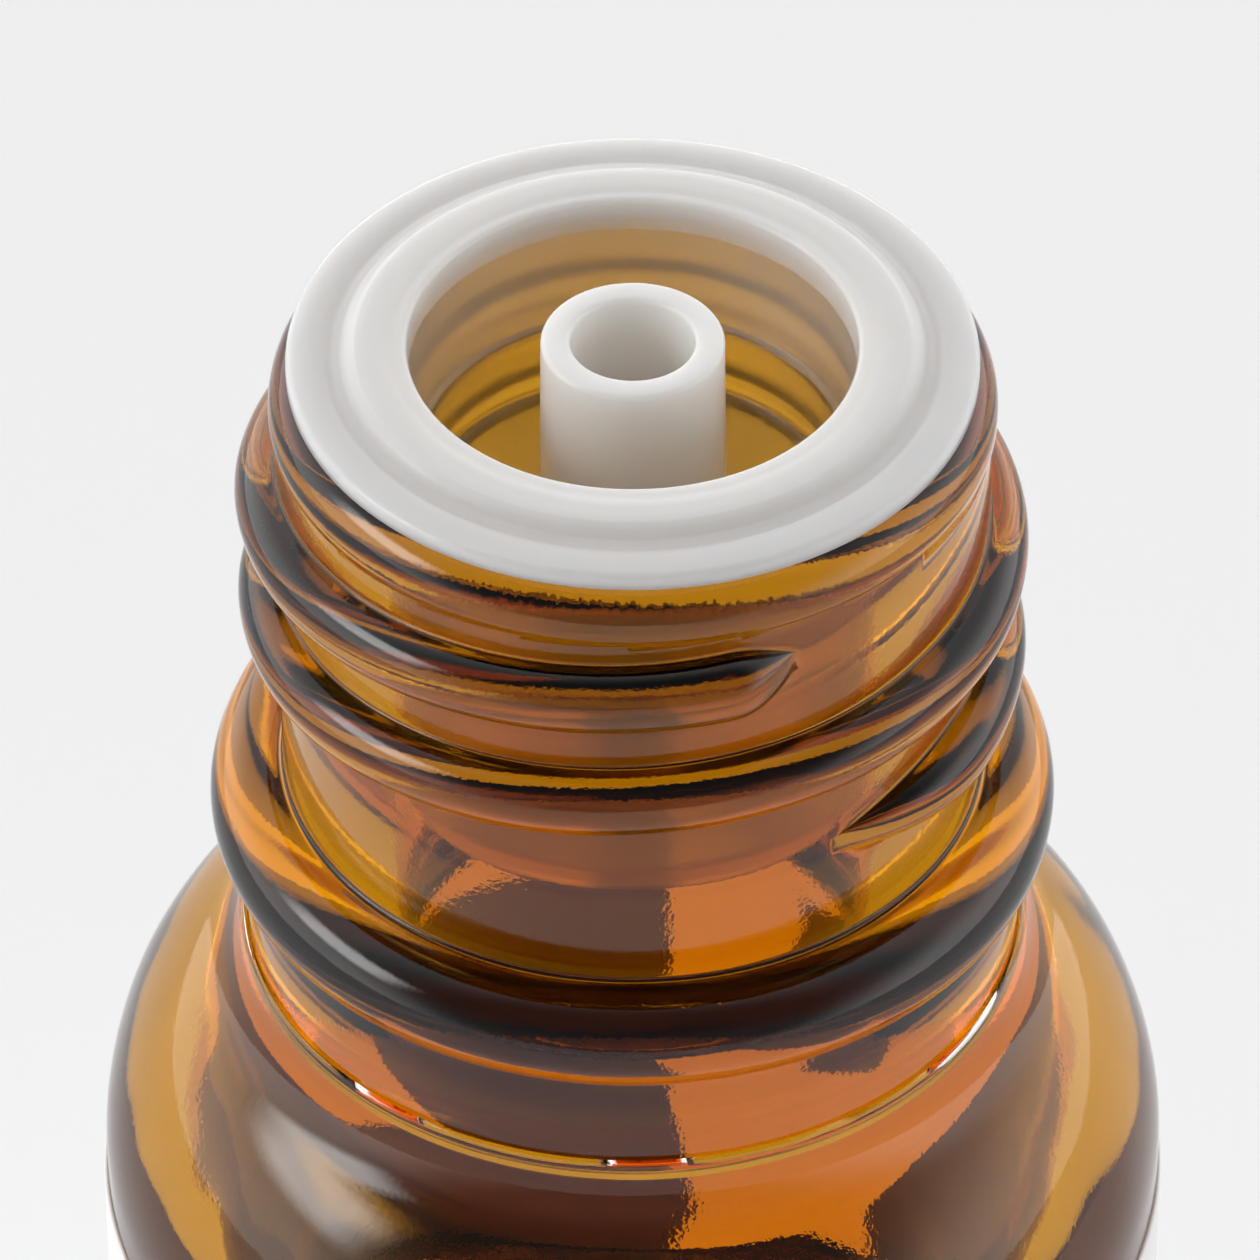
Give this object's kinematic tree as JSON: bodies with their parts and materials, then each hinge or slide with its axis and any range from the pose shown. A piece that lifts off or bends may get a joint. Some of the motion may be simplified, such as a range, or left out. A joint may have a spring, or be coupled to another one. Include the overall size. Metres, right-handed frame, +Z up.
{
  "type": "dropper bottle",
  "caption": "Small amber glass oil bottle with a screw-thread neck, a plain wraparound label and a lift-out dropper insert with a central spout.",
  "frame": {"origin": "middle of the base, on the plane that the bottle stands on", "axes": "+Z up along the bottle's axis, -Y the front; the thread's upper end is at the front, a little towards +X"},
  "size_m": [0.0252, 0.0252, 0.0588],
  "materials": {
    "amber_glass": "moulded soda-lime glass, amber, gloss",
    "natural_ldpe": "natural translucent LDPE, satin moulded",
    "label_paper": "plain white coated label paper, satin",
    "oil": "clear pale oil"
  },
  "bodies": {
    "bottle": {"glass_bottle": "amber_glass", "label": "label_paper", "essential_oil": "oil"},
    "insert": {"dropper_insert": "natural_ldpe"}
  },
  "joints": [
    {"name": "insert_pull", "type": "slide", "parent": "bottle", "child": "insert", "axis": [0, 0, 1], "range_m": [0, 0.014]}
  ]
}
